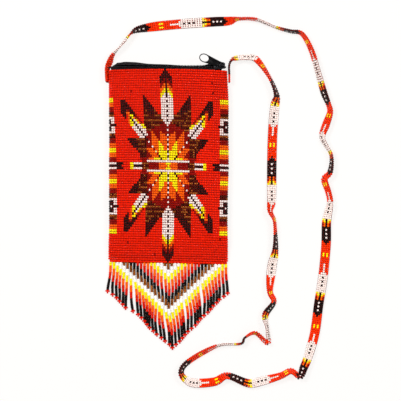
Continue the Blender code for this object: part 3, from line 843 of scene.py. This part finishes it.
def makeFringe():
    pitch = (2 * halfWidth - 2 * fringe["margin"]) / (fringe["strands"] - 1)
    for strand in range(fringe["strands"]):
        rootX = -halfWidth + fringe["margin"] + strand * pitch
        count = fringe["edgeBeads"] + fringe["added"] * min(strand, fringe["strands"] - 1 - strand)
        body = count * fringe["beadPitch"]
        length = body + fringe["picot"]
        rootY = -halfLength - fringe["rootDrop"] - fringe["seamFollow"] * rowDrop(rootX / halfWidth, -1)
        tuft = sum(strand >= first for first in fringe["tufts"])
        phase = fringe["tuftPhase"] * tuft + random.uniform(-fringe["phaseSpread"], fringe["phaseSpread"])
        middle = (fringe["tufts"][tuft - 1] + fringe["tufts"][tuft] - 1) / 2
        drawn = fringe["draw"] * pitch * (middle - strand)

        def line(along):
            x = rootX + fringe["lean"][strand] * (along / length) ** fringe["sweep"]
            wave = fringe["wave"][0] * math.sin(along / fringe["wave"][1] + phase)
            short = along / fringe["ripple"][1] + fringe["strandPhase"] * strand
            wave += fringe["ripple"][0] * math.sin(short)
            x += wave * ease(along / fringe["calm"]) + drawn * ramp(along, *fringe["drawn"])
            z = pouch["seamDepth"] / 2
            z += (fringe["restHeight"] - z) * ease(along / fringe["settle"])
            return Vector((x, rootY - along, z))

        def spotAt(along):
            step = (line(along + 0.2) - line(max(along - 0.2, 0))).normalized()
            across = Vector((0, 0, 1)).cross(step).normalized()
            return line(along), step, across, step.cross(across)

        points = []
        for k in range(count):
            spot, step, across, out = spotAt((k + 0.5) * fringe["beadPitch"])
            turn = Matrix((step, across, out)).transposed().to_euler()
            colour, bronze = beadTone(fringe["fromTip"][count - 1 - k])
            points.append((spot * mm, turn, colour, bronze))
        spot, step, across, out = spotAt(body)
        for sideways, down, angle in fringe["picotBeads"]:
            aim = step * math.cos(angle) + across * math.sin(angle)
            turn = Matrix((aim, out.cross(aim), out)).transposed().to_euler()
            colour, bronze = beadTone("ruby")
            points.append(((spot + across * sideways + step * down) * mm, turn, colour, bronze))
        name = "fringe_strand_%02d" % (strand + 1)
        piece = grown(name + "_beads", points, beadTree, {
            "Bead Length": fringe["beadLength"] * mm, "Bead Width": fringe["beadWidth"] * mm,
            "End Share": fringe["endShare"], "Sides": 8, "Unevenness": 0.03, "Tilt": 0.06,
            "Seed": 100 + strand, "Finish": glass})
        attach(piece, "bag")
        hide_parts(name)
    print("fringe", fringe["strands"])


makeFringe()


# Zip

def wovenTape():
    # Fine twill: ribs across the tape, slanted ones over them, and a matte nap. The colour is darker in the
    # ribs' grooves, which is painted shade, and the nap gives it an uneven tone
    tape = Finish("wovenTape", Specular_IOR_Level=0.25, Sheen_Weight=0.08, Sheen_Roughness=0.4)
    ribs = tape.wave("X", Scale=420.0, Distortion=0.6, Detail_Scale=3.0)
    cross = tape.wave("DIAGONAL", Scale=300.0, Distortion=0.4)
    nap = tape.noise(1500.0, 3.0)
    tape.feed(Base_Color=tape.mix(nap * 0.6 + ribs * 0.3, tone(9, 8, 10), tone(30, 26, 28)),
              Roughness=0.62 + 0.25 * nap,
              Normal=tape.bump(ribs * 0.6 + cross * 0.6 + nap * 0.3, 0.6, 0.00018))
    return tape.material


def nylonFinish():
    nylon = Finish("nylonCoil", IOR=1.53, Specular_IOR_Level=0.4)
    scuff = nylon.noise(700.0, 3.0)
    nylon.feed(Base_Color=nylon.mix(scuff, tone(10, 10, 13), tone(26, 27, 32)), Roughness=0.3 + 0.2 * scuff)
    return nylon.material


def darkMetal():
    metal = Finish("darkMetal", Metallic=0.75)
    grain = metal.noise(420.0, 4.0, 0.65)
    pits = metal.noise(2600.0, 2.0)
    metal.feed(Base_Color=metal.mix(grain, tone(14, 14, 16), tone(58, 58, 63)), Roughness=0.2 + 0.2 * grain,
               Normal=metal.bump(grain + pits * 0.3, 0.12, 0.0002))
    return metal.material


def blackEnamel():
    enamel = Finish("blackEnamel", Coat_Roughness=0.08, IOR=1.5, Specular_IOR_Level=0.16)
    flow = enamel.noise(160.0, 3.0)
    specks = enamel.noise(1900.0, 2.0)
    enamel.feed(Base_Color=enamel.mix(flow * 0.7 + specks * 0.3, tone(2, 2, 3), tone(12, 12, 14)),
                Roughness=0.2 + 0.16 * flow, Coat_Weight=0.04 + 0.08 * specks,
                Normal=enamel.bump(flow + specks * 0.2, 0.1, 0.0003))
    return enamel.material


zipper = {
    "left": 7.45 - halfWidth, "right": halfWidth - 2.25, "line": halfLength + 1.95,
    "base": 9.7, "height": 1.4, "reach": 1.35, "apart": 0.2, "turn": 1.25, "lean": 0.22, "wire": 0.27,
    "endGap": 0.3, "cuts": (-44, 44, 2),  # the tapes are cut across here, so that they can bend
    # How far the front tape's ends are drawn out, and from where to where
    "leftTail": 3.6, "rightTail": 0.72, "leftEnd": (-40, -42.7), "rightEnd": (42, 44.7),
    # The mouth sags in its middle: (x, mm), and there it rolls back: (x, degrees)
    "sag": [(-32, 0), (-10, -0.5), (14, -0.9), (28, -0.9), (37.5, 0)],
    "roll": [(-32, 0), (-2, 22), (16, 40), (28, 38), (37.5, 0)], "hinge": (82.4, 9.4),
    "rollFrom": (-1.5, 0),
    # The back tape's outer bend stands out more at the left: (x, mm)
    "swellFrom": (85.4, 86.6),
    "swell": [(-46, 0.1), (-42, 0.3), (-36, 1.2), (-30, 1.0), (-16, 0.2), (-4, 0.3), (12, 0)],
}


def zipBend(place):
    # A point of the zip, in mm, carried to where the soft mouth holds it
    x, y, z = place
    roll = math.radians(between(zipper["roll"], x, True))
    hingeY, hingeZ = zipper["hinge"]
    out = y + between(zipper["swell"], x, True) * ramp(y, *zipper["swellFrom"]) - hingeY
    held = min(out, 0.0)
    past = max(out, 0.0)
    lift = (z - hingeZ) * ramp(out, *zipper["rollFrom"])
    y = hingeY + held + past * math.cos(roll) + lift * math.sin(roll) + between(zipper["sag"], x, True)
    z += lift * math.cos(roll) - lift - past * math.sin(roll)
    return Vector((x, y, z))


tapeCloth = wovenTape()
nylon = nylonFinish()
metal = darkMetal()
enamel = blackEnamel()


def coilGrowth():
    # One turn of nylon wire on every point: a closed loop that leans along the zip
    grow = Growth("coilOnPoints")
    width = grow.takes("Loop Width")
    height = grow.takes("Loop Height")
    lean = grow.takes("Lean")
    wire = grow.takes("Wire Radius")
    finish = grow.takes("Finish", "Material")
    loop = grow.node("GeometryNodeCurvePrimitiveCircle", None, {"Resolution": 12, "Radius": 1.0})
    across, up, out = grow.axes()
    shaped = grow.vector(across * lean, across * (width * 0.5), up * (height * 0.5))
    loop = grow.node("GeometryNodeSetPosition", None, {"Geometry": loop, "Position": shaped})
    section = grow.node("GeometryNodeCurvePrimitiveCircle", None, {"Resolution": 5, "Radius": wire})
    turn = grow.node("GeometryNodeCurveToMesh", None, {"Curve": loop, "Profile Curve": section})
    turn = grow.node("GeometryNodeSetShadeSmooth", None, {"Geometry": turn})
    grow.onPoints(turn, grow.pointTurn(), (1.0, 1.0, 1.0), finish)
    return grow.tree


def makeZip():
    for node in ("zip_tape_front", "zip_tape_back"):
        build = bmesh.new()
        build.from_mesh(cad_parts[node].data)
        bmesh.ops.remove_doubles(build, verts=build.verts, dist=2e-6)
        for cut in range(*zipper["cuts"]):
            bmesh.ops.bisect_plane(build, geom=build.verts[:] + build.edges[:] + build.faces[:],
                                   plane_co=(cut * mm, 0, 0), plane_no=(1, 0, 0), dist=1e-6)
        for vertex in build.verts:
            place = vertex.co / mm
            if node == "zip_tape_front":
                right = zipper["rightTail"] * ramp(place.x, *zipper["rightEnd"])
                place.x += right - zipper["leftTail"] * ramp(place.x, *zipper["leftEnd"])
            vertex.co = zipBend(place) * mm
        piece = fromBuild(node + "_cloth", build, tapeCloth)
        piece.data.set_sharp_from_angle(angle=math.radians(40))
        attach(piece, "bag")
        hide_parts(node)
    tree = coilGrowth()
    reach = zipper["reach"]
    endSpace = zipper["wire"] + zipper["endGap"]
    count = int((zipper["right"] - zipper["left"]) / zipper["turn"])
    for name, side in (("zip_coil_front", -1), ("zip_coil_back", 1)):
        middle = zipper["line"] + side * (zipper["apart"] + reach / 2)
        start = zipper["left"] + endSpace + (0.5 * zipper["turn"] if side > 0 else 0.0)
        points = []
        for k in range(count):
            x = start + k * zipper["turn"]
            if x < zipper["right"] - endSpace:
                roll = math.radians(between(zipper["roll"], x, True))
                points.append((zipBend((x, middle, zipper["base"] + zipper["height"] / 2)) * mm,
                               (-roll, 0, 0), (0, 0, 0), 0.0))
        piece = grown(name + "_turns", points, tree, {
            "Loop Width": (reach - 2 * zipper["wire"]) * mm,
            "Loop Height": (zipper["height"] - 2 * zipper["wire"]) * mm,
            "Lean": zipper["lean"] * side * mm, "Wire Radius": zipper["wire"] * mm, "Finish": nylon}, keep=())
        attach(piece, "bag")
        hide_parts(name)
    print("zip coil turns", 2 * count)


slider = {"rounding": 0.16, "pullRounding": 0.22, "roundedFrom": 35, "sharpFrom": 50}  # mm, and degrees


def softened(node, name, width, finish):
    # The CAD solid with its edges rounded over
    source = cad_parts[node]
    build = bmesh.new()
    build.from_mesh(source.data)
    bmesh.ops.remove_doubles(build, verts=build.verts, dist=2e-6)
    bmesh.ops.dissolve_limit(build, angle_limit=math.radians(1.5), verts=build.verts, edges=build.edges)
    mesh = bpy.data.meshes.new(name)
    build.to_mesh(mesh)
    build.free()
    piece = bpy.data.objects.new(name, mesh)
    bpy.context.scene.collection.objects.link(piece)
    bevel = piece.modifiers.new("rounded", "BEVEL")
    bevel.width = width
    bevel.segments = 3
    bevel.limit_method = "ANGLE"
    bevel.angle_limit = math.radians(slider["roundedFrom"])
    bevel.use_clamp_overlap = True
    settled(piece, finish)
    piece.data.shade_smooth()
    piece.data.set_sharp_from_angle(angle=math.radians(slider["sharpFrom"]))
    return piece


def makeSlider():
    body = softened("zip_slider", "slider_body", slider["rounding"] * mm, metal)
    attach(body, "slider")
    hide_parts("zip_slider")
    pull = softened("zip_pull", "pull_tab", slider["pullRounding"] * mm, enamel)
    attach(pull, "pull")
    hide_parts("zip_pull")
    print("slider and pull")


makeZip()
makeSlider()


# Table, light and backdrop

room = {
    "floorTone": tone(248, 251, 255), "mottle": 0.985, "whiteShare": 0.86, "glow": (1.0, 0.977, 0.955),
    "sky": (1.0, 0.95, 0.89), "skyStrength": 0.3, "mirrored": 0.3,
    # Name, place in metres, size and power
    "lamps": [("leftLamp", (-0.8, 0.6, 1.6), 0.6, 24), ("rightLamp", (1.0, 0.4, 1.6), 0.6, 15),
              ("fill", (0.2, -1.3, 1.6), 1.2, 4)],
}


def makeFloor():
    # White paper: the camera sees it nearly white, and it keeps the bag's shadow
    build = bmesh.new()
    bmesh.ops.create_grid(build, x_segments=1, y_segments=1, size=3.0)
    paper = Finish("palePaper", Specular_IOR_Level=0.1)
    dimmer = tuple(v * room["mottle"] for v in room["floorTone"])
    paper.feed(Base_Color=paper.mix(paper.noise(30.0), dimmer, room["floorTone"]), Roughness=0.85)
    rays = paper.node("ShaderNodeLightPath", out="Is Camera Ray")
    glow = paper.node("ShaderNodeEmission", None, {"Color": room["glow"], "Strength": 1.0})
    both = paper.node("ShaderNodeMixShader", None, {0: rays * room["whiteShare"],
                                                    1: Wire(paper, paper.shader.outputs[0]), 2: glow})
    paper.plug(paper.tree.nodes["Material Output"].inputs["Surface"], both)
    floor = fromBuild("floor", build, paper.material, smooth=False)
    for vertex in floor.data.vertices:
        vertex.co.z = -0.0002


def makeSky():
    # Past the floor's edge the camera sees plain white, and a reflection sees less than other rays
    world = bpy.data.worlds.new("studio")
    world.use_nodes = True
    sky = Board(world.node_tree)
    seen = sky.node("ShaderNodeLightPath", out="Is Camera Ray")
    strength = sky.node("ShaderNodeMapRange", None, {
        "Value": seen.other("Is Glossy Ray"), "To Min": room["skyStrength"],
        "To Max": room["skyStrength"] * room["mirrored"]})
    shader = sky.tree.nodes["Background"]
    sky.plug(shader.inputs["Strength"], sky.choose(seen, strength, 1.0))
    sky.plug(shader.inputs["Color"], sky.mix(seen, room["sky"], (1.0, 1.0, 1.0)))
    bpy.context.scene.world = world


def makeLamps():
    for name, place, size, power in room["lamps"]:
        data = bpy.data.lights.new(name, "AREA")
        data.shape = "DISK"
        data.size = size
        data.energy = power
        light = bpy.data.objects.new(name, data)
        light.location = place
        aim = Vector((0.03, -0.03, 0)) - Vector(place)
        light.rotation_euler = aim.to_track_quat("-Z", "Y").to_euler()
        bpy.context.scene.collection.objects.link(light)


makeFloor()
makeSky()
makeLamps()
bpy.context.scene.view_settings.view_transform = "Standard"
print("room")
